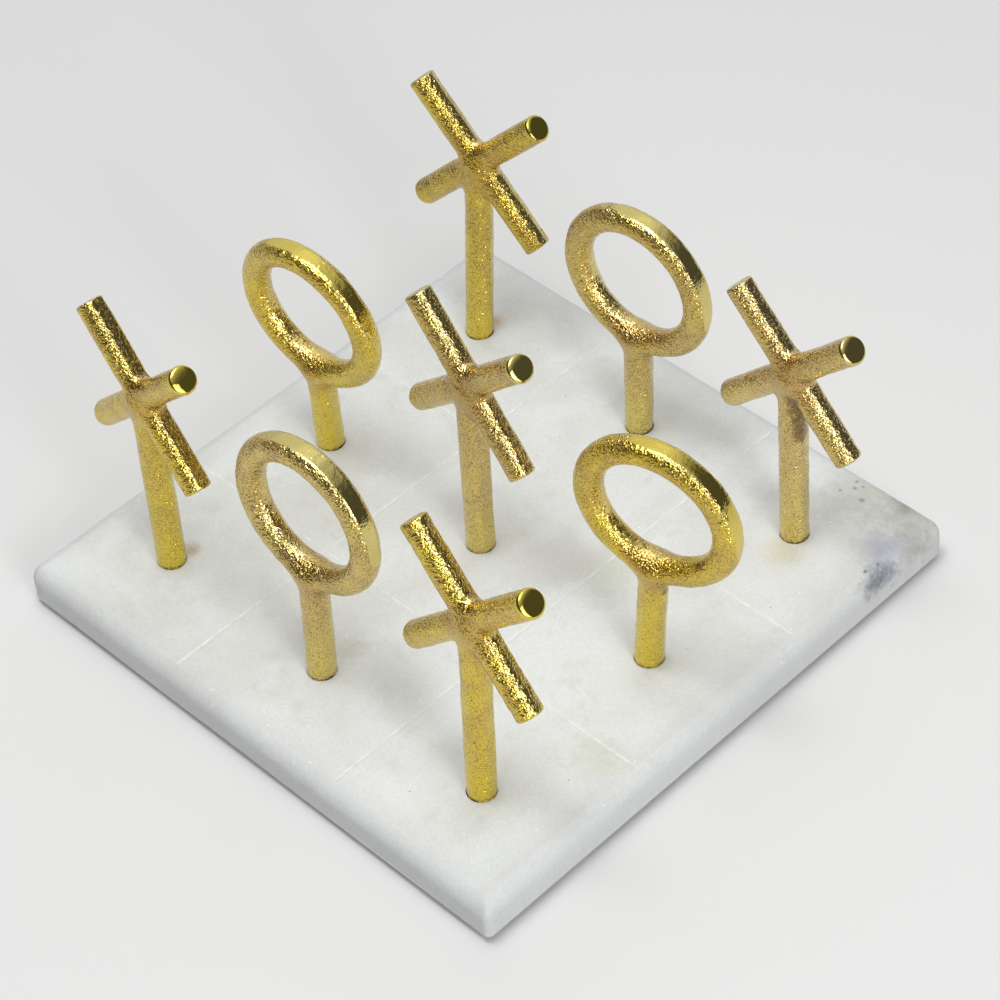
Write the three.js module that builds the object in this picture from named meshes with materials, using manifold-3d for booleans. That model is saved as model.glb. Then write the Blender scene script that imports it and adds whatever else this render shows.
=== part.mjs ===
import * as THREE from "three";
import { mergeVertices } from "three/addons/utils/BufferGeometryUtils.js";
import Module from "manifold-3d";

// A tic-tac-toe board: a marble slab with nine blind holes and four engraved grooves, nine loose
// cast metal pegs that stand in the holes, five crosses and four rings, and four rubber feet.
// Millimetres. The origin is on the table under the middle of the slab, with +Z up. +X runs along
// the slab's near left edge, +Y along its near right edge, and the pegs face -Y.

// Stems of the cast pegs
const STEM_RADIUS = 4.75;
const STEM_FOOT_CHAMFER = 0.6;

// Cross pegs: a short bar that rises to -X and a long one that rises to +X, on a stem. The long bar
// reaches a little further than the short one at both ends.
const CROSS_BAR_RADIUS = 4.5;
const SHORT_BAR_HALF = 32.3;
const LONG_BAR_LEAD = 2.7;
const CROSS_BAR_RIM = 0.9;
const CROSS_RISE = 72;
const CROSS_TILT = Math.PI / 4;

// Ring pegs: the radius is to the middle of the ring's bar
const RING_RADIUS = 23;
const RING_BAR_RADIUS = 4.65;
const RING_RISE = 66;

// How far a stem narrows where it runs into the bars that it carries
const STEM_NECK_SHARE = 0.7;

// Slab: the pitch follows from the widest peg and the gap left for fingers between two pegs
const PEG_GAP = 13.6;
const EDGE_MARGIN = 32.6;
const SLAB_THICKNESS = 12.7;
const TOP_EASE = 1.8;
const BOTTOM_EASE = 0.9;
const CORNER_SPARE = 1.2;

// Holes: blind, loose and drilled by hand, so each one strays a little from the grid
const HOLE_CLEARANCE = 0.45;
const HOLE_FLOOR = 4.5;
const SEAT_GAP = 0.3;
const DRILL_DRIFT = 2.3;

// Grooves that mark the squares, cut short of the slab's edges
const GROOVE_WIDTH = 1.3;
const GROOVE_DEPTH = 0.6;
const GROOVE_END_MARGIN = 5;

// Feet: rubber bumpers stuck under the slab's corners
const FOOT_HEIGHT = 2;
const FOOT_RADIUS = 6;
const FOOT_TAPER = 1;
const FOOT_INSET = 18;

// How far a cutter runs past the face that it opens
const CUT_OVERRUN = 1;

// Facets
const BAR_SIDES = 20;
const STEM_SIDES = 24;
const RING_STEPS = 40;
const RING_SIDES = 12;
const CORNER_STEPS = 4;
const EASE_STEPS = 3;

// The pegs, by their squares from the middle of the board. They are cut, bent and drilled by hand, so
// each one has its own spin in degrees, its height as a share of its pattern's rise, its lean as shares
// of what a loose hole allows, and its hole's stray as shares of the drill's drift. A cross peg has its
// arms' lengths too, as shares of half a bar: the long bar's high and low arm, then the short bar's.
const PEGS = [
  { name: "cross_peg_left", square: [-1, -1], spin: -5, riseShare: 0.995,
    leanShares: [0.2, 0], driftShares: [0.15, 0.15], barShares: [1, 1, 1.015, 1.01] },
  { name: "cross_peg_front", square: [1, -1], spin: -2, riseShare: 1.01,
    leanShares: [0.1, 0.3], driftShares: [0, -0.65], barShares: [1, 1.04, 1.01, 0.99] },
  { name: "cross_peg_centre", square: [0, 0], spin: -4.5, riseShare: 1,
    leanShares: [0.4, -0.15], driftShares: [-0.4, -0.1], barShares: [1, 1.01, 0.975, 1] },
  { name: "cross_peg_back", square: [-1, 1], spin: 8, riseShare: 0.97,
    leanShares: [0.05, 0.75], driftShares: [-0.15, -0.35], barShares: [0.95, 0.9, 1.01, 1.045] },
  { name: "cross_peg_right", square: [1, 1], spin: -2, riseShare: 0.97,
    leanShares: [0, -0.1], driftShares: [0.2, -1], barShares: [0.975, 1.055, 0.96, 0.995] },
  { name: "ring_peg_left_front", square: [0, -1], spin: 2.5, riseShare: 1.01,
    leanShares: [0.15, 0.3], driftShares: [0.05, -0.1] },
  { name: "ring_peg_right_front", square: [1, 0], spin: 12.5, riseShare: 1.02,
    leanShares: [0.8, 0], driftShares: [0.5, -0.2] },
  { name: "ring_peg_left_back", square: [-1, 0], spin: 4, riseShare: 0.9,
    leanShares: [0.4, -0.45], driftShares: [-0.05, 0.15] },
  { name: "ring_peg_right_back", square: [0, 1], spin: 5, riseShare: 0.965,
    leanShares: [0.3, 0], driftShares: [0.35, 0.55] },
];

// Places that follow from the sizes
const longBarHalf = SHORT_BAR_HALF + LONG_BAR_LEAD;
const crossWidth = 2 * (longBarHalf * Math.cos(CROSS_TILT) + CROSS_BAR_RADIUS * Math.sin(CROSS_TILT));
const ringWidth = 2 * (RING_RADIUS + RING_BAR_RADIUS);
const pitch = Math.max(crossWidth, ringWidth) + PEG_GAP;
const slabSide = 2 * (pitch + EDGE_MARGIN);
const slabTop = FOOT_HEIGHT + SLAB_THICKNESS;
const cornerRadius = TOP_EASE + CORNER_SPARE;
const holeDepth = SLAB_THICKNESS - HOLE_FLOOR;
const leanLimit = (2 * HOLE_CLEARANCE) / holeDepth;

const marble = new THREE.MeshStandardMaterial({ color: 0xd6d8d6, roughness: 0.45, metalness: 0 });
const castBrass = new THREE.MeshStandardMaterial({ color: 0xb98f4e, roughness: 0.35, metalness: 1 });
const rubber = new THREE.MeshStandardMaterial({ color: 0x242424, roughness: 0.8, metalness: 0 });

const wasm = await Module();
wasm.setup();

// A closed geometry as a solid that can be joined and cut
function solid(geometry) {
  const bare = geometry.clone();
  bare.deleteAttribute("normal");
  bare.deleteAttribute("uv");
  const merged = mergeVertices(bare);
  const corners = merged.index.array;
  const kept = [];
  for (let i = 0; i < corners.length; i += 3) {
    const [a, b, c] = [corners[i], corners[i + 1], corners[i + 2]];
    if (a !== b && b !== c && c !== a) kept.push(a, b, c);
  }
  const vertProperties = Float32Array.from(merged.attributes.position.array);
  const triVerts = Uint32Array.from(kept);
  return new wasm.Manifold(new wasm.Mesh({ numProp: 3, vertProperties, triVerts }));
}

function geometryOf(body) {
  const mesh = body.getMesh();
  const geometry = new THREE.BufferGeometry();
  geometry.setAttribute("position", new THREE.BufferAttribute(mesh.vertProperties, 3));
  geometry.setIndex(new THREE.BufferAttribute(mesh.triVerts, 1));
  geometry.computeVertexNormals();
  return geometry;
}

// A turned shape about Z from a profile of [radius, height] points, from the bottom up
function turned(profile, sides) {
  const points = profile.map(([radius, height]) => new THREE.Vector2(radius, height));
  return new THREE.LatheGeometry(points, sides).rotateX(Math.PI / 2);
}

// A round bar along Z, reaching up and down from the origin, with both rims rounded over
function crossBar(high, low) {
  const inset = CROSS_BAR_RIM * (1 - Math.SQRT1_2);
  const rim = (end) => [
    [CROSS_BAR_RADIUS, end - CROSS_BAR_RIM],
    [CROSS_BAR_RADIUS - inset, end - inset],
    [CROSS_BAR_RADIUS - CROSS_BAR_RIM, end],
    [0, end],
  ];
  const start = rim(low).map(([radius, height]) => [radius, -height]).reverse();
  return turned([...start, ...rim(high)], BAR_SIDES);
}

// The stem from the peg's foot up to the middle of the bars that it runs into
function stem(foot, top, barRadius) {
  return turned([
    [0, foot],
    [STEM_RADIUS - STEM_FOOT_CHAMFER, foot],
    [STEM_RADIUS, foot + STEM_FOOT_CHAMFER],
    [STEM_RADIUS, top - barRadius],
    [barRadius * STEM_NECK_SHARE, top],
    [0, top],
  ], STEM_SIDES);
}

function crossPeg(foot, rise, barShares) {
  const [longHigh, longLow] = barShares.slice(0, 2).map((share) => longBarHalf * share);
  const [shortHigh, shortLow] = barShares.slice(2).map((share) => SHORT_BAR_HALF * share);
  const long = crossBar(longHigh, longLow).rotateY(CROSS_TILT).translate(0, 0, rise);
  const short = crossBar(shortHigh, shortLow).rotateY(-CROSS_TILT).translate(0, 0, rise);
  return solid(stem(foot, rise, CROSS_BAR_RADIUS)).add(solid(long)).add(solid(short));
}

function ringPeg(foot, rise) {
  const ring = new THREE.TorusGeometry(RING_RADIUS, RING_BAR_RADIUS, RING_SIDES, RING_STEPS);
  ring.rotateX(Math.PI / 2).translate(0, 0, rise);
  return solid(stem(foot, rise - RING_RADIUS, RING_BAR_RADIUS)).add(solid(ring));
}

// A peg turns and leans about a point on the hole's axis, half way down the hole. Its foot stands
// as low as the lean lets its edge go.
function makePeg({ name, square, spin, riseShare, leanShares, driftShares, barShares }) {
  const axis = new THREE.Vector3(leanLimit * leanShares[0], leanLimit * leanShares[1], 1).normalize();
  const upright = new THREE.Vector3(0, 0, 1);
  const lean = axis.angleTo(upright);
  const foot = (SEAT_GAP + STEM_RADIUS * Math.sin(lean) - holeDepth / 2) / Math.cos(lean);
  const casting = barShares
    ? crossPeg(foot, riseShare * CROSS_RISE + holeDepth / 2, barShares)
    : ringPeg(foot, riseShare * RING_RISE + holeDepth / 2);
  const peg = new THREE.Mesh(geometryOf(casting), castBrass);
  peg.name = name;
  peg.quaternion.setFromUnitVectors(upright, axis);
  peg.rotateZ(THREE.MathUtils.degToRad(spin));
  peg.position.set(...holeCentre(square, driftShares), slabTop - holeDepth / 2);
  return peg;
}

function holeCentre(square, driftShares) {
  return [0, 1].map((k) => pitch * square[k] + DRILL_DRIFT * driftShares[k]);
}

function slabOutline() {
  const half = slabSide / 2;
  const middle = half - cornerRadius;
  const outline = new THREE.Shape();
  for (let quarter = 0; quarter < 4; quarter += 1) {
    const start = (quarter * Math.PI) / 2;
    const x = middle * Math.SQRT2 * Math.cos(start + Math.PI / 4);
    const y = middle * Math.SQRT2 * Math.sin(start + Math.PI / 4);
    outline.absarc(x, y, cornerRadius, start, start + Math.PI / 2, false);
  }
  return outline;
}

// The slab's outline between two heights, with its edges eased over at both
function easedPlate(low, high, ease) {
  return new THREE.ExtrudeGeometry(slabOutline(), {
    depth: high - low - 2 * ease,
    bevelThickness: ease,
    bevelSize: ease,
    bevelOffset: -ease,
    bevelSegments: EASE_STEPS,
    curveSegments: CORNER_STEPS,
  }).translate(0, 0, low + ease);
}

function hole(square, driftShares) {
  const length = holeDepth + CUT_OVERRUN;
  const cutter = new THREE.CylinderGeometry(STEM_RADIUS + HOLE_CLEARANCE, STEM_RADIUS + HOLE_CLEARANCE,
    length, STEM_SIDES);
  const centre = holeCentre(square, driftShares);
  return cutter.rotateX(Math.PI / 2).translate(...centre, slabTop - holeDepth + length / 2);
}

// A V-shaped cutter along Y, widened above the slab so that its slope runs straight through the face
function groove() {
  const spread = 1 + CUT_OVERRUN / GROOVE_DEPTH;
  const section = new THREE.Shape([
    new THREE.Vector2(0, -GROOVE_DEPTH),
    new THREE.Vector2((GROOVE_WIDTH / 2) * spread, CUT_OVERRUN),
    new THREE.Vector2((-GROOVE_WIDTH / 2) * spread, CUT_OVERRUN),
  ]);
  const length = slabSide - 2 * GROOVE_END_MARGIN;
  const cutter = new THREE.ExtrudeGeometry(section, { depth: length, bevelEnabled: false });
  return cutter.rotateX(Math.PI / 2).translate(0, length / 2, slabTop);
}

// The slab's top and bottom edges are eased by different amounts, so it is what two plates share
function makeSlab() {
  const eased = solid(easedPlate(FOOT_HEIGHT - TOP_EASE - CUT_OVERRUN, slabTop, TOP_EASE));
  let slab = solid(easedPlate(FOOT_HEIGHT, slabTop + BOTTOM_EASE + CUT_OVERRUN, BOTTOM_EASE)).intersect(eased);
  for (const { square, driftShares } of PEGS) slab = slab.subtract(solid(hole(square, driftShares)));
  for (const side of [-1, 1]) {
    slab = slab.subtract(solid(groove().translate((side * pitch) / 2, 0, 0)));
    slab = slab.subtract(solid(groove().rotateZ(Math.PI / 2).translate(0, (side * pitch) / 2, 0)));
  }
  const mesh = new THREE.Mesh(geometryOf(slab), marble);
  mesh.name = "marble_slab";
  return mesh;
}

function makeFoot(name, xSide, ySide) {
  const foot = turned([
    [0, 0],
    [FOOT_RADIUS - FOOT_TAPER, 0],
    [FOOT_RADIUS, FOOT_HEIGHT],
    [0, FOOT_HEIGHT],
  ], STEM_SIDES);
  const mesh = new THREE.Mesh(geometryOf(solid(foot)), rubber);
  mesh.name = name;
  mesh.position.set(xSide * (slabSide / 2 - FOOT_INSET), ySide * (slabSide / 2 - FOOT_INSET), 0);
  return mesh;
}

const board = new THREE.Group();
board.add(makeSlab());
board.add(makeFoot("rubber_foot_left", -1, -1));
board.add(makeFoot("rubber_foot_front", 1, -1));
board.add(makeFoot("rubber_foot_right", 1, 1));
board.add(makeFoot("rubber_foot_back", -1, 1));
for (const peg of PEGS) board.add(makePeg(peg));

export default board;
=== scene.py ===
import math

import bmesh
import bpy
import numpy as np
from mathutils import Matrix, Vector


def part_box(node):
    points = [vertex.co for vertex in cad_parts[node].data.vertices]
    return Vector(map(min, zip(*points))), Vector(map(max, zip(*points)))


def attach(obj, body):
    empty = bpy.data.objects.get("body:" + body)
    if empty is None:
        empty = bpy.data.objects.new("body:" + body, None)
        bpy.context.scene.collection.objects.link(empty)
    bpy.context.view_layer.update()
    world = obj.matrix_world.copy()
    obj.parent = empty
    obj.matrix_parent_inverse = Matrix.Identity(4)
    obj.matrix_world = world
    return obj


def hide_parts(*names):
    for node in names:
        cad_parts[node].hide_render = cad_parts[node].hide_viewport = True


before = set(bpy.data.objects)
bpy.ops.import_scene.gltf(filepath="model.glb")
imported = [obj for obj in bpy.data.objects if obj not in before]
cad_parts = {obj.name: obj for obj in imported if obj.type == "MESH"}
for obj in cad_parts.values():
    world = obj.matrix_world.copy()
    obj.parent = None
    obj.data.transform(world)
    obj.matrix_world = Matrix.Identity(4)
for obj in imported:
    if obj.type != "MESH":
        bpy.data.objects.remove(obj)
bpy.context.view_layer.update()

# A tic-tac-toe board: a honed marble slab on rubber feet, with five cross pegs and four ring pegs in
# sand-cast brass. Lengths are in millimetres, in the frame's axes, and MM turns them into metres.
MM = 0.001

# Sizes of the frame
slab_low, slab_high = (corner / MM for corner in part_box("marble_slab"))
SLAB_HALF = slab_high.x
SLAB_TOP = slab_high.z
EDGE_MARGIN = 32.6
PITCH = SLAB_HALF - EDGE_MARGIN
HOLE_DEPTH = 8.2
HOLE_RADIUS = 5.2
HOLE_CLEARANCE = 0.45
DRILL_DRIFT = 2.3
SEAT_GAP = 0.3
LEAN_LIMIT = 2 * HOLE_CLEARANCE / HOLE_DEPTH
STEM_RADIUS = HOLE_RADIUS - HOLE_CLEARANCE
BAR_RADIUS = 4.5
LONG_BAR_HALF = 35
SHORT_BAR_HALF = 32.3
CROSS_RISE = 72
RING_RADIUS = 23
RING_BAR_RADIUS = 4.65
RING_RISE = 66

# Rims of a cross peg's bars: polished over at the high right end, sawn and tumbled on the short bar, and
# left round as cast at the low left end. The polished end is also slightly crowned.
POLISHED_RIM = 1.7
CROWN_RADIUS = 19
SAWN_RIM = 1.0
CAST_RIM = 1.7
FOOT_RIM = 0.6

# The castings' forms: the fillets between bars, and how softly a ground flat or a crown meets the rest. A
# stem's flat fades in above the slab, and a ring's band fades out past its two ends, in degrees.
BAR_FILLET = 3.2
RING_FILLET = 5
CUT_EDGE = 0.3
FLAT_FADE = 9
BAND_FADE = 40
BAND_RUN_OUT = 3

# The castings' skin: its small faces, and its unevenness as heights and sizes of swells, the last of them
# the ripple that the sand leaves. The tumbling drum wears the hills flat, and the skin lies inside the form.
SKIN_CELL = 0.36
SKIN_SWELLS = ((0.13, 9), (0.08, 3.5), (0.09, 1.7))
WORN_TOP = 0.07
SKIN_SINK = 0.1

# Where the buffing wheel came from, in a peg's own axes, and the brown tint's reach round a joint. The
# buffed faces are also painted paler, as a painted highlight.
CROSS_BUFFED_FROM = (0.83, 0.4, 0.4)
RING_BUFFED_FROM = (0.55, 0.3, 0.78)
JOINT_NEAR = 5
JOINT_FAR = 14

# Each peg as in the frame: its square, its spin in degrees, its height as a share of its pattern's rise,
# its lean as shares of what its hole allows, its hole's stray as shares of the drill's drift and, on a
# cross, its arms as shares of half a bar: the long bar's high and low arm, then the short bar's.
# After these comes what its own casting shows: the brass that it was poured from, the direction and depth
# of the flat that a belt left along its stem, and on a cross the same along its short bar.
CROSSES = {
    "left": dict(square=(-1, -1), spin=-5, rise_share=0.995, lean_shares=(0.2, 0),
                 drift_shares=(0.15, 0.15), arm_shares=(1, 1, 1.015, 1.01), brass="yellow",
                 stem_flat=(350, 0.4), bar_flat=(22, 0.5)),
    "front": dict(square=(1, -1), spin=-2, rise_share=1.01, lean_shares=(0.1, 0.3),
                  drift_shares=(0, -0.65), arm_shares=(1, 1.04, 1.01, 0.99), brass="yellow",
                  stem_flat=(10, 0.2), bar_flat=(25, 0.25)),
    "centre": dict(square=(0, 0), spin=-4.5, rise_share=1, lean_shares=(0.4, -0.15),
                   drift_shares=(-0.4, -0.1), arm_shares=(1, 1.01, 0.975, 1), brass="tan",
                   stem_flat=(5, 0.65), bar_flat=(20, 0.2)),
    "back": dict(square=(-1, 1), spin=8, rise_share=0.97, lean_shares=(0.05, 0.75),
                 drift_shares=(-0.15, -0.35), arm_shares=(0.95, 0.9, 1.01, 1.045), brass="olive",
                 stem_flat=(20, 0.15), bar_flat=(30, 0.3)),
    "right": dict(square=(1, 1), spin=-2, rise_share=0.97, lean_shares=(0, -0.1),
                  drift_shares=(0.2, -1), arm_shares=(0.975, 1.055, 0.96, 0.995), brass="red",
                  stem_flat=(15, 0.3), bar_flat=(15, 0.15)),
}
# A ring was linished round its outside instead: the band's depth, how sharp its edges are left, and the
# angles in degrees, counted up from its own X axis, between which it runs at full depth.
RINGS = {
    "left_front": dict(square=(0, -1), spin=2.5, rise_share=1.01, lean_shares=(0.15, 0.3),
                       drift_shares=(0.05, -0.1), brass="tan", stem_flat=(345, 0.35),
                       band=(0.7, 0.3, 5, 118)),
    "right_front": dict(square=(1, 0), spin=12.5, rise_share=1.02, lean_shares=(0.8, 0),
                        drift_shares=(0.5, -0.2), brass="yellow", stem_flat=(20, 0.15),
                        band=(0.6, 0.5, 5, 100)),
    "left_back": dict(square=(-1, 0), spin=4, rise_share=0.9, lean_shares=(0.4, -0.45),
                      drift_shares=(-0.05, 0.15), brass="bright", stem_flat=(0, 0.15),
                      band=(0.65, 0.5, 25, 112)),
    "right_back": dict(square=(0, 1), spin=5, rise_share=0.965, lean_shares=(0.3, 0),
                       drift_shares=(0.35, 0.55), brass="tan", stem_flat=(10, 0.1),
                       band=(0.65, 0.4, 0, 95)),
}


# Shared mesh work

def linear(hex_colour):
    """A colour written as sRGB hex, as linear red, green, blue and alpha."""
    shares = [int(hex_colour[i:i + 2], 16) / 255 for i in (1, 3, 5)]
    return tuple(c / 12.92 if c <= 0.04045 else ((c + 0.055) / 1.055) ** 2.4 for c in shares) + (1,)


def made(name, bm):
    """An object in the scene that holds the bmesh."""
    mesh = bpy.data.meshes.new(name)
    bmesh.ops.recalc_face_normals(bm, faces=bm.faces[:])
    bm.to_mesh(mesh)
    bm.free()
    piece = bpy.data.objects.new(name, mesh)
    bpy.context.scene.collection.objects.link(piece)
    return piece


def apply_modifiers(piece):
    """Applies the piece's modifiers to its mesh."""
    bpy.context.view_layer.update()
    finished = bpy.data.meshes.new_from_object(piece.evaluated_get(bpy.context.evaluated_depsgraph_get()))
    piece.modifiers.clear()
    old = piece.data
    piece.data = finished
    bpy.data.meshes.remove(old)


def points_of(mesh):
    """The mesh's points, as an array with a row for each."""
    points = np.empty(len(mesh.vertices) * 3, np.float32)
    mesh.vertices.foreach_get("co", points)
    return points.reshape(-1, 3).astype(float)


def set_points(mesh, points):
    """Moves the mesh's points to the array's rows."""
    mesh.vertices.foreach_set("co", points.astype(np.float32).ravel())
    mesh.update()


def normals_of(mesh):
    """The directions in which the mesh's skin faces, with a row for each point."""
    normals = np.empty(len(mesh.vertices) * 3, np.float32)
    mesh.vertex_normals.foreach_get("vector", normals)
    return normals.reshape(-1, 3).astype(float)


def rod(bm, start, end, radius):
    """A closed round bar between two points."""
    along = end - start
    turn = Vector((0, 0, 1)).rotation_difference(along).to_matrix().to_4x4()
    bmesh.ops.create_cone(bm, cap_ends=True, segments=32, radius1=radius, radius2=radius,
                          depth=along.length, matrix=Matrix.Translation((start + end) / 2) @ turn)


def smooth_step(low, high, values):
    """A soft step from 0 at low to 1 at high, which may be the lower of the two."""
    t = np.clip((values - low) / (high - low), 0, 1)
    return t * t * (3 - 2 * t)


def lumps(points, size, seed):
    """Smooth random heights from -1 to 1, with hills about one size across."""
    repeat = 32
    table = np.random.default_rng(seed).uniform(-1, 1, (repeat, repeat, repeat))
    scaled = points / size
    cell = np.floor(scaled).astype(int)
    t = scaled - cell
    t = t * t * (3 - 2 * t)
    height = np.zeros(len(points))
    for corner in np.ndindex(2, 2, 2):
        share = np.prod(np.where(corner, t, 1 - t), axis=1)
        x, y, z = ((cell + corner) % repeat).T
        height += share * table[x, y, z]
    return height


# The castings' forms, as the distance from each point to the surface, below zero inside

def rod_form(points, start, end, radius, start_rim, end_rim):
    """A round bar whose two rims are rounded by different amounts."""
    along = end - start
    length = np.linalg.norm(along)
    along = along / length
    offset = points - start
    height = offset @ along
    out = np.linalg.norm(offset - height[:, None] * along, axis=1)
    rim = np.where(height > length / 2, end_rim, start_rim)
    side = out - radius + rim
    cap = np.abs(height - length / 2) - length / 2 + rim
    outside = np.hypot(np.maximum(side, 0), np.maximum(cap, 0))
    return outside + np.minimum(np.maximum(side, cap), 0) - rim


def joined(a, b, fillet):
    """Two forms run together with a fillet."""
    near = np.maximum(fillet - np.abs(a - b), 0) / fillet
    return np.minimum(a, b) - near * near * fillet / 4


def ground(form, points, normal, offset):
    """A form with all of it past a plane ground away."""
    return -joined(-form, offset - points @ np.array(normal), CUT_EDGE)


def flat_share(above_foot):
    """How much of its flat a stem has at a height above its foot: none where it fits its hole."""
    return smooth_step(HOLE_DEPTH, HOLE_DEPTH + FLAT_FADE, above_foot)


def skin(name, bm, form):
    """The bodies in bm as one closed skin of small faces, evened out and pressed onto a form in turns."""
    piece = made(name, bm)
    wrap = piece.modifiers.new("skin", "REMESH")
    wrap.mode = "VOXEL"
    wrap.voxel_size = SKIN_CELL
    apply_modifiers(piece)
    mesh = piece.data
    edges = np.empty(len(mesh.edges) * 2, np.int32)
    mesh.edges.foreach_get("vertices", edges)
    a, b = edges.reshape(-1, 2).T
    points = points_of(mesh)
    count = np.bincount(np.r_[a, b], minlength=len(points))[:, None]
    for spread in (0.5, 0.5, 0.5, 0):
        if spread:
            sums = np.stack([np.bincount(np.r_[a, b], np.r_[points[b, k], points[a, k]], len(points))
                             for k in range(3)], axis=1)
            points += spread * (sums / count - points)
        for _ in range(3):
            points = pressed(points, form)
    set_points(mesh, points)
    mesh.shade_smooth()
    return piece


def pressed(points, form):
    """The points moved towards the form's surface."""
    reach = 0.01
    distance = form(points)
    slope = np.stack([(form(points + reach * step) - distance) / reach for step in np.eye(3)], axis=1)
    steepness = np.maximum((slope ** 2).sum(1), 0.25)
    return points - (distance / steepness)[:, None] * slope


def roughen(piece, seed, smooth_share):
    """Gives a casting its uneven skin, where grinding hasn't made it smooth."""
    mesh = piece.data
    points = points_of(mesh)
    shift = points + 50 * seed
    swells = sum(rise * lumps(shift, size, seed + k) for k, (rise, size) in enumerate(SKIN_SWELLS))
    height = np.minimum(swells, WORN_TOP) - SKIN_SINK
    set_points(mesh, points + normals_of(mesh) * (height * (1 - smooth_share))[:, None])


def keep_share(piece, name, shares):
    """Stores a share from 0 to 1 for each point of the piece, for its material to read."""
    layer = piece.data.attributes.new(name, "FLOAT", "POINT")
    layer.data.foreach_set("value", shares.astype(np.float32))


def peg_place(square, spin, lean_shares, drift_shares):
    """Where a peg stands: its own frame has its origin on the hole's axis, half way down the hole."""
    lean = Vector((LEAN_LIMIT * lean_shares[0], LEAN_LIMIT * lean_shares[1], 1)).normalized()
    tilt = Vector((0, 0, 1)).rotation_difference(lean).to_matrix().to_4x4()
    x, y = (PITCH * square[k] + DRILL_DRIFT * drift_shares[k] for k in (0, 1))
    pivot = Matrix.Translation((x, y, SLAB_TOP - HOLE_DEPTH / 2))
    return pivot @ tilt @ Matrix.Rotation(math.radians(spin), 4, "Z"), tilt


def foot_height(tilt):
    """How low a leaning stem's foot reaches in its hole, in the peg's own frame."""
    lean = math.acos(tilt[2][2])
    return (SEAT_GAP + STEM_RADIUS * math.sin(lean) - HOLE_DEPTH / 2) / math.cos(lean)


def finish_peg(piece, node, place):
    """Puts a peg in the frame's place and scale, on its body, and hides the solid that it stands for."""
    piece.data.transform(Matrix.Scale(MM, 4) @ place)
    piece.data.update()
    body = node.replace("_peg", "")
    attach(piece, body)
    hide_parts(node)


def cross_peg(name, seed, square, spin, rise_share, lean_shares, drift_shares, arm_shares, brass, stem_flat,
              bar_flat):
    """A cross: in its own axes the long bar lies along X and the short bar along Z, and its stem points
    between -X and -Z."""
    place, tilt = peg_place(square, spin, lean_shares, drift_shares)
    rise = rise_share * CROSS_RISE + HOLE_DEPTH / 2
    long_high, long_low = (LONG_BAR_HALF * share for share in arm_shares[:2])
    short_high, short_low = (SHORT_BAR_HALF * share for share in arm_shares[2:])
    down = Vector((-1, 0, -1)).normalized() * (rise - foot_height(tilt))
    bars = [(Vector((-long_low, 0, 0)), Vector((long_high, 0, 0)), BAR_RADIUS, CAST_RIM, POLISHED_RIM),
            (Vector((0, 0, -short_low)), Vector((0, 0, short_high)), BAR_RADIUS, SAWN_RIM, SAWN_RIM),
            (down, Vector((0, 0, 0)), STEM_RADIUS, FOOT_RIM, FOOT_RIM)]
    bar_angle, bar_depth = math.radians(bar_flat[0]), bar_flat[1]
    stem_angle, stem_depth = math.radians(stem_flat[0]), stem_flat[1]
    bar_normal = (math.cos(bar_angle), math.sin(bar_angle), 0)
    side = math.cos(stem_angle) * math.sqrt(0.5)
    stem_normal = (side, math.sin(stem_angle), -side)

    def form(points):
        long_bar, short_bar, stem = (rod_form(points, np.array(start), np.array(end), *sizes)
                                     for start, end, *sizes in bars)
        crown = points[:, 0] - long_high + (points[:, 1] ** 2 + points[:, 2] ** 2) / (2 * CROWN_RADIUS)
        long_bar = -joined(-long_bar, -crown, CUT_EDGE)
        short_bar = ground(short_bar, points, bar_normal, BAR_RADIUS - bar_depth)
        above_foot = down.length + (points[:, 0] + points[:, 2]) * math.sqrt(0.5)
        stem = ground(stem, points, stem_normal, STEM_RADIUS - stem_depth * flat_share(above_foot))
        return joined(joined(long_bar, short_bar, BAR_FILLET), stem, BAR_FILLET)

    bm = bmesh.new()
    for start, end, radius, *_ in bars:
        rod(bm, start, end, radius)
    piece = skin("cast_cross_" + name, bm, form)
    points, normals = points_of(piece.data), normals_of(piece.data)
    disc = smooth_step(long_high - POLISHED_RIM - 0.4, long_high - POLISHED_RIM + 0.2, points[:, 0])
    keep_share(piece, "ground", disc)
    keep_share(piece, "buffed", smooth_step(0.3, 0.8, normals @ np.array(CROSS_BUFFED_FROM)))
    keep_share(piece, "joint", smooth_step(JOINT_FAR, JOINT_NEAR, np.linalg.norm(points, axis=1)))
    roughen(piece, seed, disc)
    piece.data.materials.append(CAST_BRASS[brass])
    finish_peg(piece, "cross_peg_" + name,
               place @ Matrix.Translation((0, 0, rise)) @ Matrix.Rotation(-math.pi / 4, 4, "Y"))


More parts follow.
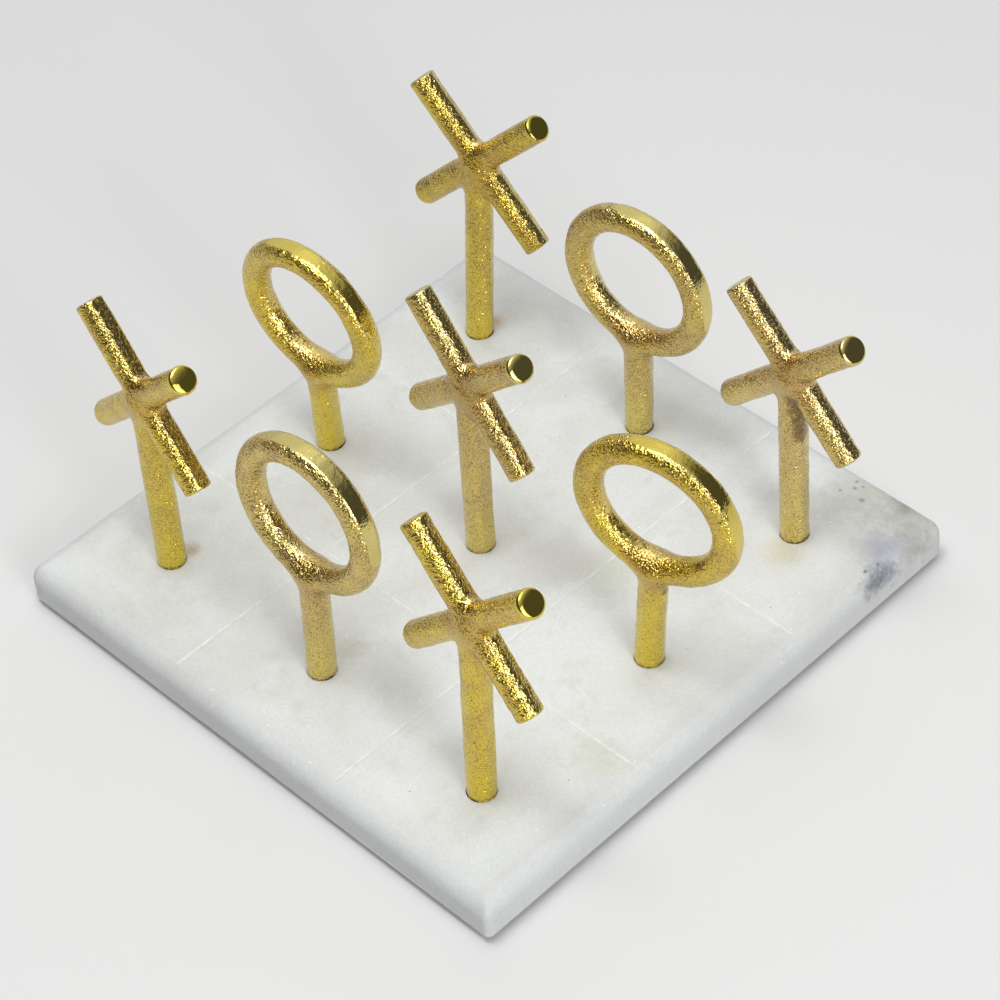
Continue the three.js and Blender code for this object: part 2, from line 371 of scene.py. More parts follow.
def ring_peg(name, seed, square, spin, rise_share, lean_shares, drift_shares, brass, stem_flat, band):
    """A ring: its own axes have the ring round Y, with its middle at the origin."""
    place, tilt = peg_place(square, spin, lean_shares, drift_shares)
    rise = rise_share * RING_RISE + HOLE_DEPTH / 2
    top = np.array([0, 0, -RING_RADIUS])
    foot = np.array([0, 0, foot_height(tilt) - rise])
    band_depth, band_edge, band_start, band_end = band
    band_radius = RING_RADIUS + RING_BAR_RADIUS - band_depth
    stem_angle, stem_depth = math.radians(stem_flat[0]), stem_flat[1]
    stem_normal = (math.cos(stem_angle), math.sin(stem_angle), 0)

    def band_out(points):
        """How far out the band's face is moved: not at all in the band, and off the ring past its ends."""
        angle = np.degrees(np.arctan2(points[:, 2], points[:, 0]))
        return BAND_RUN_OUT * (1 - smooth_step(band_start - BAND_FADE, band_start, angle)
                               + smooth_step(band_end, band_end + BAND_FADE, angle))

    def form(points):
        out = np.hypot(points[:, 0], points[:, 2])
        ring = np.hypot(out - RING_RADIUS, points[:, 1]) - RING_BAR_RADIUS
        ring = -joined(-ring, band_radius + band_out(points) - out, band_edge)
        stem = rod_form(points, foot, top, STEM_RADIUS, FOOT_RIM, FOOT_RIM)
        above_foot = points[:, 2] - foot[2]
        stem = ground(stem, points, stem_normal, STEM_RADIUS - stem_depth * flat_share(above_foot))
        return joined(ring, stem, RING_FILLET)

    bm = bmesh.new()
    section = bmesh.ops.create_circle(bm, segments=24, radius=RING_BAR_RADIUS,
                                      matrix=Matrix.Translation((RING_RADIUS, 0, 0)))
    bmesh.ops.spin(bm, geom=section["verts"] + bm.edges[:], cent=(0, 0, 0), axis=(0, 1, 0),
                   angle=2 * math.pi, steps=72, use_merge=True)
    rod(bm, Vector(foot), Vector(top), STEM_RADIUS)
    piece = skin("cast_ring_" + name, bm, form)
    points, normals = points_of(piece.data), normals_of(piece.data)
    # The belt's band: as far out as its face, looking outwards, and before it runs out at its ends
    out = np.hypot(points[:, 0], points[:, 2])
    linished = smooth_step(band_radius - 0.15, band_radius - 0.04, out) * (np.abs(normals[:, 1]) < 0.25)
    linished = linished * (band_out(points) < 0.6)
    keep_share(piece, "ground", 0.75 * linished)
    keep_share(piece, "buffed", smooth_step(0.3, 0.8, normals @ np.array(RING_BUFFED_FROM)))
    keep_share(piece, "joint", smooth_step(JOINT_FAR, JOINT_NEAR, np.linalg.norm(points - top, axis=1)))
    roughen(piece, seed, 0.5 * linished)
    piece.data.materials.append(CAST_BRASS[brass])
    finish_peg(piece, "ring_peg_" + name, place @ Matrix.Translation((0, 0, rise)))


# Materials

# Stains in the marble: where each lies on the slab's top, how far it reaches, and its colour. Most lie at the
# right corner: a grey and violet smudge with dark spots, and small pits before it.
MARBLE_STAINS = (
    (78, 94, 16, "#B9BBB2"), (93, 97, 13, "#A7A8A0"), (102, 88, 9, "#A3A39D"), (94, 79, 9, "#B2B3C2"),
    (101, 75, 6, "#999BAB"), (106, 73, 9, "#4E515E"), (106, 67, 7, "#595C66"), (98, 74, 0.8, "#4C4C52"),
    (97, 69, 0.8, "#4C4C52"), (71.4, 94.4, 0.8, "#8A8A88"), (76.5, 91.8, 0.9, "#8A8A88"),
    (68.5, 90.6, 0.7, "#8A8A88"), (70, 97, 0.8, "#8A8A88"), (73, 96.5, 0.6, "#8A8A88"),
    (88, 99, 5, "#8E908A"), (72, 58, 8, "#D4D3BF"), (-67.5, -62.5, 4, "#B9A78C"),
    (-69, 75.5, 4, "#C4AA84"), (88, -40, 10, "#CDCEC3"), (38, 18, 14, "#CDCFC5"), (0, -60, 7, "#CDCDC4"))
# The brasses that the pegs were poured from: each one's yellow tone, which shows in random patches and is
# painted low down as a reflection of the marble, its tan tone, its cut colour, and how much dirt its pits
# hold
BRASS_TONES = {
    "yellow": ("#EBD050", "#DCBE5C", "#DEC858", 0.6),
    "bright": ("#EED456", "#E2C660", "#E0CC5C", 0.5),
    "olive": ("#E6CC56", "#D4B85C", "#D2C35A", 0.5),
    "tan": ("#E4CD74", "#D7BB74", "#DACB7C", 0.65),
    "red": ("#E8CF7C", "#DEC27E", "#D8C67E", 0.6),
}
# Tarnish left on the right cross and the right front ring: where each patch lies, and how far it reaches
TARNISH = (
    (73.4, 62.4, 77, 3.8), (74.3, 63.8, 72, 4.4), (74.6, 64.8, 67, 4.6), (74.6, 65.3, 62, 4.2),
    (91.8, 0, 68.7, 1.8), (93.5, 0.5, 71, 1.4), (78.7, -0.4, 49.1, 1.6), (78.9, 1.5, 47.5, 1.3))

# Sizes of the brass's patterns. Moulding sand is too fine to show, so its grain and pits are drawn coarser.
SAND_GRAIN = 1.1
PIT_SPACING = 0.55
BRASS_PATCH = 9
# Up to the first of these heights a peg is painted at its yellowest, as a reflection of the white marble,
# and from the second up it is at its tannest
YELLOWEST_HEIGHT = 20
TANNEST_HEIGHT = 45

# Sizes of the marble's patterns. Its sugary crystals are drawn a little coarser than they are, too.
CLOUD_SIZE = 38
MOTTLE_SIZE = 9
CHIP_SIZE = 3
SUGAR_GRAIN = 0.9


def add(tree, kind, sockets=None, **settings):
    """Adds one shader node. Each socket takes a value or the output that feeds it."""
    node = tree.nodes.new(kind)
    for key, value in settings.items():
        setattr(node, key, value)
    for key, value in (sockets or {}).items():
        if isinstance(value, bpy.types.NodeSocket):
            tree.links.new(value, node.inputs[key])
        else:
            node.inputs[key].default_value = value
    return node


def material(name):
    """An empty material with its output node."""
    made_material = bpy.data.materials.new(name)
    made_material.use_nodes = True
    tree = made_material.node_tree
    tree.nodes.clear()
    return made_material, tree, add(tree, "ShaderNodeOutputMaterial")


def cast_brass(name, yellow_tone, tan_tone, cut_metal, dirt_share):
    """Sand-cast brass, tumbled, part buffed and lacquered. The sand leaves a glittering grain with dirt in
    its pits; buffing cuts the grain down to bright lands, painted paler as a highlight, and grinding leaves
    a mirror. The brass is painted yellower low down as a reflection of the marble, browner at the joints,
    tarnished in patches, and painted with a thin ring of shade where it enters the marble."""
    finished, tree, output = material("Sand-cast brass, " + name)
    place = add(tree, "ShaderNodeTexCoord").outputs["Object"]
    height = add(tree, "ShaderNodeSeparateXYZ", {0: place}).outputs["Z"]
    buffed = add(tree, "ShaderNodeAttribute", attribute_name="buffed").outputs["Fac"]
    ground_share = add(tree, "ShaderNodeAttribute", attribute_name="ground").outputs["Fac"]
    cast_share = add(tree, "ShaderNodeMath", {0: 1.0, 1: ground_share}, operation="SUBTRACT").outputs[0]

    sand = add(tree, "ShaderNodeTexNoise", {"Vector": place, "Scale": 1 / (SAND_GRAIN * MM),
                                            "Detail": 1.2, "Roughness": 0.7}).outputs["Fac"]
    grit = add(tree, "ShaderNodeTexVoronoi", {
        "Vector": place, "Scale": 1 / (PIT_SPACING * MM)}).outputs["Distance"]
    blotch = add(tree, "ShaderNodeTexNoise", {"Vector": place, "Scale": 1 / (BRASS_PATCH * MM),
                                              "Detail": 4, "Roughness": 0.6}).outputs["Fac"]
    land = add(tree, "ShaderNodeMapRange", {"Value": buffed, "To Min": 0.8, "To Max": 0.5}).outputs[0]
    cut = add(tree, "ShaderNodeMath", {0: sand, 1: land, 2: 0.1}, operation="SMOOTH_MIN").outputs[0]
    grain = add(tree, "ShaderNodeMapRange", {"Value": buffed, "To Min": 0.24, "To Max": 0.08}).outputs[0]
    cut = add(tree, "ShaderNodeMath", {0: grit, 1: grain, 2: cut}, operation="MULTIPLY_ADD").outputs[0]
    low_down = add(tree, "ShaderNodeMapRange", {"Value": height, "From Min": TANNEST_HEIGHT * MM,
                                                "From Max": YELLOWEST_HEIGHT * MM},
                   interpolation_type="SMOOTHSTEP").outputs[0]
    relief = add(tree, "ShaderNodeMapRange", {"Value": low_down, "To Min": 1.0, "To Max": 0.95}).outputs[0]
    relief = add(tree, "ShaderNodeMath", {0: relief, 1: cast_share}, operation="MULTIPLY").outputs[0]
    relief = add(tree, "ShaderNodeMath", {0: relief, 1: 0.04}, operation="ADD").outputs[0]
    bump = add(tree, "ShaderNodeBump", {"Strength": relief, "Distance": 0.6 * MM, "Height": cut}).outputs[0]

    patch = add(tree, "ShaderNodeMapRange", {"Value": blotch, "From Min": 0.42, "From Max": 0.6,
                                             "To Max": 0.7}, interpolation_type="SMOOTHSTEP").outputs[0]
    # Painted reflection: low down a peg is painted its yellow tone, as the white marble shows in it; random
    # patches get it too
    yellow_share = add(tree, "ShaderNodeMath", {0: low_down, 1: patch}, operation="MAXIMUM").outputs[0]
    tone = add(tree, "ShaderNodeMix", {0: yellow_share, 6: linear(tan_tone), 7: linear(yellow_tone)},
               data_type="RGBA").outputs[2]
    joint = add(tree, "ShaderNodeAttribute", attribute_name="joint").outputs["Fac"]
    joint = add(tree, "ShaderNodeMath", {0: joint, 1: 0.35}, operation="MULTIPLY").outputs[0]
    # Painted highlight: the buffed faces are painted a paler colour, as white light shows on brass
    bright = add(tree, "ShaderNodeMath", {0: buffed, 1: 0.3}, operation="MULTIPLY").outputs[0]
    for share, layer in ((joint, "#B98A4C"), (bright, "#F2E6AE"), (ground_share, cut_metal)):
        tone = add(tree, "ShaderNodeMix", {0: share, 6: tone, 7: linear(layer)}, data_type="RGBA").outputs[2]

    dirty = add(tree, "ShaderNodeMapRange", {"Value": low_down, "To Min": dirt_share,
                                             "To Max": 0.9 * dirt_share}).outputs[0]
    patchy = add(tree, "ShaderNodeMapRange", {"Value": blotch, "From Min": 0.65, "From Max": 0.35,
                                              "To Min": 0.5, "To Max": 1.4}).outputs[0]
    for share in (cast_share, patchy):
        dirty = add(tree, "ShaderNodeMath", {0: dirty, 1: share}, operation="MULTIPLY").outputs[0]
    pit = add(tree, "ShaderNodeMapRange", {"Value": grit, "From Min": 0.42, "From Max": 0.17}).outputs[0]
    pit = add(tree, "ShaderNodeMath", {0: pit, 1: dirty}, operation="MULTIPLY").outputs[0]
    colour = add(tree, "ShaderNodeMix", {0: pit, 6: tone, 7: linear("#3F3016")}, data_type="RGBA").outputs[2]

    for px, py, pz, reach in TARNISH:
        near = add(tree, "ShaderNodeVectorMath", {0: place, 1: (px * MM, py * MM, pz * MM)},
                   operation="DISTANCE").outputs["Value"]
        near = add(tree, "ShaderNodeMath", {0: sand, 1: reach * MM, 2: near},
                   operation="MULTIPLY_ADD").outputs[0]
        share = add(tree, "ShaderNodeMapRange", {"Value": near, "From Min": 1.5 * reach * MM,
                                                 "From Max": reach * MM, "To Max": 0.7}).outputs[0]
        colour = add(tree, "ShaderNodeMix", {0: share, 6: colour, 7: linear("#64472A")},
                     data_type="RGBA").outputs[2]

    # A painted shade: a thin dark ring round the stem where it enters the marble, broken up by the sand's
    # noise
    seat_shade = add(tree, "ShaderNodeMath", {0: height, 1: SLAB_TOP * MM}, operation="SUBTRACT").outputs[0]
    seat_shade = add(tree, "ShaderNodeMath", {0: seat_shade}, operation="ABSOLUTE").outputs[0]
    seat_shade = add(tree, "ShaderNodeMapRange", {"Value": seat_shade, "From Min": 1.4 * MM,
                                            "From Max": 0.4 * MM}).outputs[0]
    shade_noise = add(tree, "ShaderNodeMapRange", {"Value": sand, "From Min": 0.4, "From Max": 0.6,
                                              "To Min": 0.1, "To Max": 0.8}).outputs[0]
    seat_shade = add(tree, "ShaderNodeMath", {0: seat_shade, 1: shade_noise}, operation="MULTIPLY").outputs[0]
    colour = add(tree, "ShaderNodeMix", {0: seat_shade, 6: colour, 7: linear("#4A3312")},
                 data_type="RGBA").outputs[2]

    skin_rough = add(tree, "ShaderNodeMapRange", {"Value": buffed, "To Min": 0.18, "To Max": 0.08}).outputs[0]
    rough = add(tree, "ShaderNodeMix", {0: ground_share, 2: skin_rough, 3: 0.06}).outputs[0]
    surface = add(tree, "ShaderNodeBsdfPrincipled", {
        "Base Color": colour, "Metallic": 1.0, "Roughness": rough, "Normal": bump,
        "Coat Weight": 0.12, "Coat Roughness": 0.06})
    tree.links.new(surface.outputs[0], output.inputs[0])
    return finished


def honed_marble():
    """White marble, sawn and honed: a soft sheen, faint grey clouds and green stains, and light that sinks
    in. A few of its crystals show dark and a few carry painted glints, its rim is chipped and greyed with
    painted shade, and its grooves are bruised white where the wheel broke the crystals."""
    finished, tree, output = material("Honed white marble")
    place = add(tree, "ShaderNodeTexCoord").outputs["Object"]
    clouds = add(tree, "ShaderNodeTexNoise", {
        "Vector": place, "Scale": 1 / (CLOUD_SIZE * MM), "Detail": 5, "Roughness": 0.55,
        "Distortion": 0.3}).outputs["Fac"]
    mottle = add(tree, "ShaderNodeTexNoise", {"Vector": place, "Scale": 1 / (MOTTLE_SIZE * MM),
                                              "Detail": 5, "Roughness": 0.65}).outputs["Fac"]
    sugar = add(tree, "ShaderNodeTexNoise", {"Vector": place, "Scale": 1 / (SUGAR_GRAIN * MM),
                                             "Detail": 2}).outputs["Fac"]
    cloud = add(tree, "ShaderNodeMapRange", {"Value": clouds, "From Min": 0.38, "From Max": 0.62},
                interpolation_type="SMOOTHSTEP").outputs[0]
    colour = add(tree, "ShaderNodeMix", {0: cloud, 6: linear("#D3D5D2"), 7: linear("#DDE0DF")},
                 data_type="RGBA").outputs[2]
    green = add(tree, "ShaderNodeMapRange", {"Value": mottle, "From Min": 0.52, "From Max": 0.75,
                                             "To Max": 0.35}, interpolation_type="SMOOTHSTEP").outputs[0]
    rim = add(tree, "ShaderNodeAttribute", attribute_name="rim").outputs["Fac"]
    # Painted shade: the rim band and the slab's sides are painted greyer
    rim_shade = add(tree, "ShaderNodeMath", {0: rim, 1: 0.5}, operation="MULTIPLY").outputs[0]
    for share, layer in ((green, "#BEC0B2"), (rim_shade, "#C2C4C5")):
        colour = add(tree, "ShaderNodeMix", {0: share, 6: colour, 7: linear(layer)},
                     data_type="RGBA").outputs[2]
    ragged = add(tree, "ShaderNodeTexNoise", {"Vector": place, "Scale": 1 / (CHIP_SIZE * MM),
                                              "Detail": 4, "Roughness": 0.7}).outputs["Fac"]
    for px, py, reach, stain in MARBLE_STAINS:
        near = add(tree, "ShaderNodeVectorMath", {0: place, 1: (px * MM, py * MM, SLAB_TOP * MM)},
                   operation="DISTANCE").outputs["Value"]
        for edge in (mottle, ragged):
            near = add(tree, "ShaderNodeMath", {0: edge, 1: -reach * 1.3 * MM, 2: near},
                       operation="MULTIPLY_ADD").outputs[0]
        share = add(tree, "ShaderNodeMapRange", {"Value": near, "From Min": 0.0,
                                                 "From Max": -reach * 1.4 * MM, "To Max": 0.85},
                    interpolation_type="SMOOTHSTEP").outputs[0]
        colour = add(tree, "ShaderNodeMix", {0: share, 6: colour, 7: linear(stain)},
                     data_type="RGBA").outputs[2]

    grain = add(tree, "ShaderNodeMapRange", {"Value": sugar, "From Min": 0.3, "From Max": 0.7,
                                             "To Min": 0.95, "To Max": 1.03}).outputs[0]
    colour = add(tree, "ShaderNodeMix", {0: 1.0, 6: colour, 7: grain}, data_type="RGBA",
                 blend_type="MULTIPLY").outputs[2]
    # Specks: the white ones are painted glints of crystals, and the dark ones are dark crystals
    for spacing, size, rarity, speck_colour in ((4, 0.3, 0.8, "#F0F0F0"), (8, 0.2, 0.6, "#6B665C")):
        cells = add(tree, "ShaderNodeTexVoronoi", {"Vector": place, "Scale": 1 / (spacing * MM)})
        chosen = add(tree, "ShaderNodeSeparateColor", {0: cells.outputs["Color"]}).outputs[0]
        chosen = add(tree, "ShaderNodeMath", {0: chosen, 1: rarity}, operation="GREATER_THAN").outputs[0]
        close = add(tree, "ShaderNodeMath", {0: cells.outputs["Distance"], 1: size / spacing},
                    operation="LESS_THAN").outputs[0]
        speck = add(tree, "ShaderNodeMath", {0: chosen, 1: close}, operation="MULTIPLY").outputs[0]
        colour = add(tree, "ShaderNodeMix", {0: speck, 6: colour, 7: linear(speck_colour)},
                     data_type="RGBA").outputs[2]

    chipped = add(tree, "ShaderNodeMapRange", {"Value": ragged, "From Min": 0.63, "From Max": 0.7,
                                               "To Max": 0.4}).outputs[0]
    chipped = add(tree, "ShaderNodeMath", {0: chipped, 1: rim}, operation="MULTIPLY").outputs[0]
    bruised = add(tree, "ShaderNodeAttribute", attribute_name="groove").outputs["Fac"]
    broken = add(tree, "ShaderNodeMapRange", {"Value": ragged, "From Min": 0.42, "From Max": 0.6,
                                              "To Min": 0.1, "To Max": 0.9}).outputs[0]
    bruised = add(tree, "ShaderNodeMath", {0: bruised, 1: broken}, operation="MULTIPLY").outputs[0]
    for share, layer in ((chipped, "#ECEEEE"), (bruised, "#EDEDE9")):
        colour = add(tree, "ShaderNodeMix", {0: share, 6: colour, 7: linear(layer)},
                     data_type="RGBA").outputs[2]

    bump = add(tree, "ShaderNodeBump", {"Strength": 0.5, "Distance": 0.05 * MM, "Height": sugar}).outputs[0]
    surface = add(tree, "ShaderNodeBsdfPrincipled", {
        "Base Color": colour, "Roughness": 0.62, "IOR": 1.5, "Subsurface Weight": 0.25,
        "Subsurface Radius": (2.2, 2.0, 1.8), "Subsurface Scale": MM, "Normal": bump})
    tree.links.new(surface.outputs[0], output.inputs[0])
    return finished


def moulded_rubber():
    """Moulded black rubber: matt, with a fine even grain."""
    finished, tree, output = material("Moulded black rubber")
    place = add(tree, "ShaderNodeTexCoord").outputs["Object"]
    grain = add(tree, "ShaderNodeTexNoise", {"Vector": place, "Scale": 1 / (0.3 * MM), "Detail": 2})
    bump = add(tree, "ShaderNodeBump", {"Strength": 0.4, "Distance": 0.03 * MM,
                                        "Height": grain.outputs["Fac"]})
    surface = add(tree, "ShaderNodeBsdfPrincipled", {
        "Base Color": linear("#2A2A2A"), "Roughness": 0.7, "IOR": 1.52, "Normal": bump.outputs[0]})
    tree.links.new(surface.outputs[0], output.inputs[0])
    return finished


# The slab

TOP_EASE = 5.6
BOTTOM_EASE = 0.9
CORNER_RADIUS = 4.8
FRONT_CORNER_RADIUS = 2.2
GROOVE_DEPTH = 0.24
GROOVE_HALF_WIDTH = 0.65
GROOVE_END_MARGIN = 5
GROOVE_WANDER = 0.08
RIM_BAND_WIDTH = 14
# How far the slab's mesh lines lie from its edges: close together where the rim is eased
RIM_STEPS = (0.2, 0.5, 0.9, 1.4, 2, 2.7, 3.5, 4.4, 5.5)
WALL_STEPS = (7.5, 9.5, 11, 11.6, 12, 12.4)
# A hole is drawn a touch under its stem's nominal size, because the stem's uneven skin lies just inside that
HOLE_GAP = -0.03
DRILL_OVERSHOOT = 2


def slab_lines():
    """Where the slab's mesh has its lines across: close at the rims and grooves, wide between."""
    lines = [SLAB_HALF - step for step in (0, *RIM_STEPS)]
    groove = PITCH / 2
    lines += [groove + step for step in (-1.1, -0.7, -0.45, -0.2, 0, 0.2, 0.45, 0.7, 1.1)]
    lines += [x for x in np.arange(0, SLAB_HALF - 5, 1.9) if abs(x - groove) > 1.4]
    return sorted(set(lines + [-x for x in lines]))


def slab_form(points):
    """The slab's blank: square, with rounded corners, the front one sharper, and its rims eased by hand, more
    above than below."""
    x, y, z = points.T
    corner = np.where((x >= 0) & (y < 0), FRONT_CORNER_RADIUS, CORNER_RADIUS)
    across = np.abs(x) - SLAB_HALF + corner
    along = np.abs(y) - SLAB_HALF + corner
    side = (np.hypot(np.maximum(across, 0), np.maximum(along, 0))
            + np.minimum(np.maximum(across, along), 0) - corner)
    middle = (slab_low.z + SLAB_TOP) / 2
    ease = np.where(z > middle, TOP_EASE, BOTTOM_EASE)
    a = side + ease
    b = np.abs(z - middle) - (SLAB_TOP - slab_low.z) / 2 + ease
    return np.hypot(np.maximum(a, 0), np.maximum(b, 0)) + np.minimum(np.maximum(a, b), 0) - ease


def groove_shares(points):
    """How deep in a groove each point lies, from 0 to 1. The grooves waver and stop short of the rims."""
    x, y, z = points.T
    line = PITCH / 2
    end = SLAB_HALF - GROOVE_END_MARGIN
    depth = 0.15 + 0.85 * smooth_step(-0.6, 0.3, lumps(points, 6, 3))
    share = np.zeros(len(points))
    for across, along in ((x, y), (y, x)):
        off = np.abs(np.abs(across) - line + GROOVE_WANDER * lumps(points, 14, 5))
        cut = np.maximum(1 - off / GROOVE_HALF_WIDTH, 0) * smooth_step(end + 1, end - 1, np.abs(along))
        share = np.maximum(share, cut * depth)
    return share * (z > SLAB_TOP - 1)


def marble_slab(finish):
    """The slab: sawn, eased, scored with a grid and drilled for the nine stems."""
    lines = slab_lines()
    count = len(lines) - 1
    bm = bmesh.new()
    bmesh.ops.create_grid(bm, x_segments=count, y_segments=count, size=count / 2)
    for vertex in bm.verts:
        vertex.co = (lines[round(vertex.co.x + count / 2)], lines[round(vertex.co.y + count / 2)], SLAB_TOP)
    top = bm.faces[:]
    rim = [edge for edge in bm.edges if edge.is_boundary]
    for depth in (*RIM_STEPS, *WALL_STEPS, SLAB_TOP - slab_low.z):
        walls = bmesh.ops.extrude_edge_only(bm, edges=rim)["geom"]
        rim = [part for part in walls if isinstance(part, bmesh.types.BMEdge)]
        lower = {vertex for edge in rim for vertex in edge.verts}
        for vertex in lower:
            vertex.co.z = SLAB_TOP - depth
        rim = [edge for edge in rim if all(vertex in lower for vertex in edge.verts)]
    under = bmesh.ops.duplicate(bm, geom=top)["geom"]
    for vertex in (part for part in under if isinstance(part, bmesh.types.BMVert)):
        vertex.co.z = slab_low.z
    bmesh.ops.remove_doubles(bm, verts=bm.verts[:], dist=0.001)
    piece = made("honed_slab", bm)

    mesh = piece.data
    points = points_of(mesh)
    for _ in range(5):
        points = pressed(points, slab_form)
    set_points(mesh, points)
    groove = groove_shares(points)
    keep_share(piece, "groove", groove)
    from_middle = np.abs(points[:, :2]).max(axis=1)
    keep_share(piece, "rim", smooth_step(SLAB_HALF - RIM_BAND_WIDTH, SLAB_HALF - 1, from_middle))

    # Easing by hand leaves the rims uneven, honing levels the top, and the underside is sawn flat
    swell = 0.12 * (lumps(points, 17, 1) - 1) + 0.05 * (lumps(points, 5, 2) - 1)
    honed = (from_middle < SLAB_HALF - 4) & (points[:, 2] > SLAB_TOP - 1)
    swell = swell * np.where(honed, 0.25, 1) * (points[:, 2] > slab_low.z + 1)
    set_points(mesh, points + normals_of(mesh) * (swell - GROOVE_DEPTH * groove)[:, None])
    piece.data.materials.append(finish)
    drill_holes(piece)
    piece.data.shade_smooth()
    piece.data.set_sharp_from_angle(angle=math.radians(40))
    piece.data.transform(Matrix.Scale(MM, 4))
    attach(piece, "board")
    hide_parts("marble_slab")


def drill_holes(piece):
    """Drills a hole for each stem, along the way that the stem leans, so that its uneven skin shows only a
    hair's breadth of gap."""
    cutters = bmesh.new()
    for peg in [*CROSSES.values(), *RINGS.values()]:
        place, _ = peg_place(peg["square"], 0, peg["lean_shares"], peg["drift_shares"])
        rod(cutters, place @ Vector((0, 0, -HOLE_DEPTH / 2)),
            place @ Vector((0, 0, HOLE_DEPTH / 2 + DRILL_OVERSHOOT)), STEM_RADIUS + HOLE_GAP)
    drill = made("drill", cutters)
    cut = piece.modifiers.new("holes", "BOOLEAN")
    cut.operation = "DIFFERENCE"
    cut.solver = "EXACT"
    cut.object = drill
    apply_modifiers(piece)
    bpy.data.objects.remove(drill)


# The rubber feet: how much narrower each is below, its rounded lower edge, and the dish under it
FOOT_TAPER = 1
FOOT_EDGE = 0.5
DISH_MARGIN = 1.2
DISH_DEPTH = 0.3


def rubber_foot(name, finish):
    """A stuck-on bumper: a rounded disc with a shallow dish under it."""
    low, high = (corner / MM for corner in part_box("rubber_foot_" + name))
    middle = (low + high) / 2
    bm = bmesh.new()
    radius = (high.x - low.x) / 2
    bmesh.ops.create_cone(bm, cap_ends=True, segments=48, radius1=radius - FOOT_TAPER, radius2=radius,
                          depth=high.z - low.z, matrix=Matrix.Translation(middle))
    bottom = [face for face in bm.faces if face.normal.z < -0.9]
    bmesh.ops.bevel(bm, geom=bottom[0].edges[:], offset=FOOT_EDGE, offset_type="OFFSET", segments=3,
                    profile=0.5, affect="EDGES", material=-1)
    bottom = min((face for face in bm.faces if face.normal.z < -0.9),
                 key=lambda face: face.calc_center_median().z)
    bmesh.ops.inset_individual(bm, faces=[bottom], thickness=DISH_MARGIN)
    bmesh.ops.translate(bm, verts=bottom.verts[:], vec=(0, 0, DISH_DEPTH))
    piece = made("bumper_" + name, bm)
    piece.data.shade_smooth()
    piece.data.materials.append(finish)
    piece.data.transform(Matrix.Scale(MM, 4))
    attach(piece, "board")
    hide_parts("rubber_foot_" + name)


marble_slab(honed_marble())
rubber = moulded_rubber()
for corner in ("left", "front", "right", "back"):
    rubber_foot(corner, rubber)
CAST_BRASS = {name: cast_brass(name, *tones) for name, tones in BRASS_TONES.items()}
for seed, (name, peg) in enumerate(CROSSES.items()):
    cross_peg(name, 10 + seed, **peg)
for seed, (name, peg) in enumerate(RINGS.items()):
    ring_peg(name, 20 + seed, **peg)


# The studio, in metres and degrees

FLOOR_HALF = 8
EVEN_GLOW = 0.09
LAMP_TARGET = Vector((0, 0, 0.05))
# Each softbox's azimuth, elevation, distance, width, height and brightness. The bright middle of a softbox
# gives the metal its white lights.
SOFTBOXES = {
    "key softbox": (344, 25, 1.6, 1.05, 1.1, 2.0),
    "middle of the key softbox": (342, 25, 1.55, 0.36, 0.46, 10.5),
    "overhead softbox": (235, 84, 1.35, 1.0, 0.9, 2.6),
    "middle of the overhead softbox": (235, 80, 1.3, 0.28, 0.28, 13),
}
CAMERA_PLACE = (0.5394, -0.4762, 0.7658)
CAMERA_TURN = 48.05
CAMERA_LOOK_DOWN = 45.51
CAMERA_ROLL = -5.0
FOCAL_LENGTH_MM = 119.9
SENSOR_WIDTH_MM = 36


def floor():
    """A plain pale floor that runs out of sight."""
    bm = bmesh.new()
    bmesh.ops.create_grid(bm, x_segments=1, y_segments=1, size=FLOOR_HALF)
    piece = made("floor", bm)
    finished, tree, output = material("Matt paper floor")
    surface = add(tree, "ShaderNodeBsdfPrincipled", {"Base Color": linear("#D9D9D9"), "Roughness": 0.9,
                                                     "Specular IOR Level": 0.1})
    tree.links.new(surface.outputs[0], output.inputs[0])
    piece.data.materials.append(finished)


def towards(azimuth, elevation):
    """The direction at an azimuth and an elevation in degrees, as seen from the board."""
    a, e = math.radians(azimuth), math.radians(elevation)
    return Vector((math.cos(a) * math.cos(e), math.sin(a) * math.cos(e), math.sin(e)))


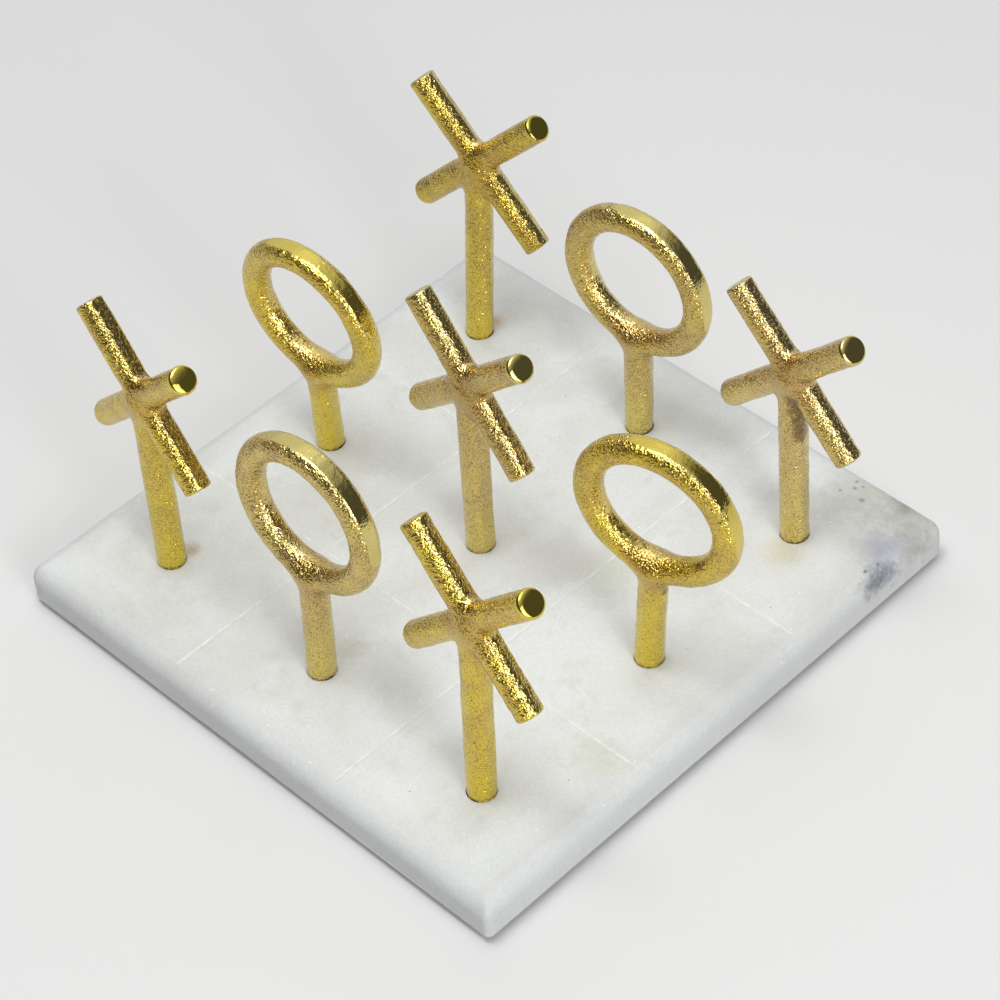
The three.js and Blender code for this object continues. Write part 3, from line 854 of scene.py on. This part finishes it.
def softbox(name, azimuth, elevation, distance, width, height, radiance):
    """A rectangular lamp of an even brightness, where 1 is white, turned towards the board."""
    lamp = bpy.data.lights.new(name, "AREA")
    lamp.shape = "RECTANGLE"
    lamp.size = width
    lamp.size_y = height
    lamp.energy = radiance * math.pi * width * height
    holder = bpy.data.objects.new(name, lamp)
    bpy.context.scene.collection.objects.link(holder)
    out = towards(azimuth, elevation)
    holder.location = LAMP_TARGET + out * distance
    holder.rotation_euler = out.to_track_quat("Z", "Y").to_euler()


def studio_world():
    """Soft light from all round, brighter above and behind and dim at the right and left."""
    world = bpy.data.worlds.new("studio")
    bpy.context.scene.world = world
    world.use_nodes = True
    tree = world.node_tree
    tree.nodes.clear()
    direction = add(tree, "ShaderNodeTexCoord").outputs["Generated"]

    def glow(azimuth, elevation, edge, middle, strength):
        """A soft round patch of light in a direction, with its edge and its middle as cosines from there."""
        facing = add(tree, "ShaderNodeVectorMath", {0: direction, 1: towards(azimuth, elevation)},
                     operation="DOT_PRODUCT")
        share = add(tree, "ShaderNodeMapRange", {"Value": facing.outputs["Value"], "From Min": edge,
                                                 "From Max": middle, "To Min": 0.0, "To Max": strength},
                    interpolation_type="SMOOTHSTEP")
        return share.outputs[0]

    total = EVEN_GLOW
    for light in (glow(0, 90, 0.6, 0.98, 0.65), glow(135, 25, 0.6, 0.97, 0.7)):
        total = add(tree, "ShaderNodeMath", {0: light, 1: total}, operation="ADD").outputs[0]
    background = add(tree, "ShaderNodeBackground", {"Color": (1, 1, 1, 1), "Strength": total})
    output = add(tree, "ShaderNodeOutputWorld")
    tree.links.new(background.outputs[0], output.inputs[0])


def camera():
    """The photograph's viewing angle: the camera turns about the upright, looks down and rolls a little."""
    lens = bpy.data.cameras.new("camera")
    lens.lens = FOCAL_LENGTH_MM
    lens.sensor_width = SENSOR_WIDTH_MM
    holder = bpy.data.objects.new("camera", lens)
    bpy.context.scene.collection.objects.link(holder)
    turn = Matrix.Rotation(math.radians(CAMERA_TURN), 4, "Z")
    look_down = Matrix.Rotation(math.radians(90 - CAMERA_LOOK_DOWN), 4, "X")
    roll = Matrix.Rotation(math.radians(CAMERA_ROLL), 4, "Z")
    holder.matrix_world = Matrix.Translation(CAMERA_PLACE) @ turn @ look_down @ roll
    bpy.context.scene.camera = holder


floor()
for name, settings in SOFTBOXES.items():
    softbox(name, *settings)
studio_world()
camera()
bpy.context.scene.view_settings.view_transform = "Standard"
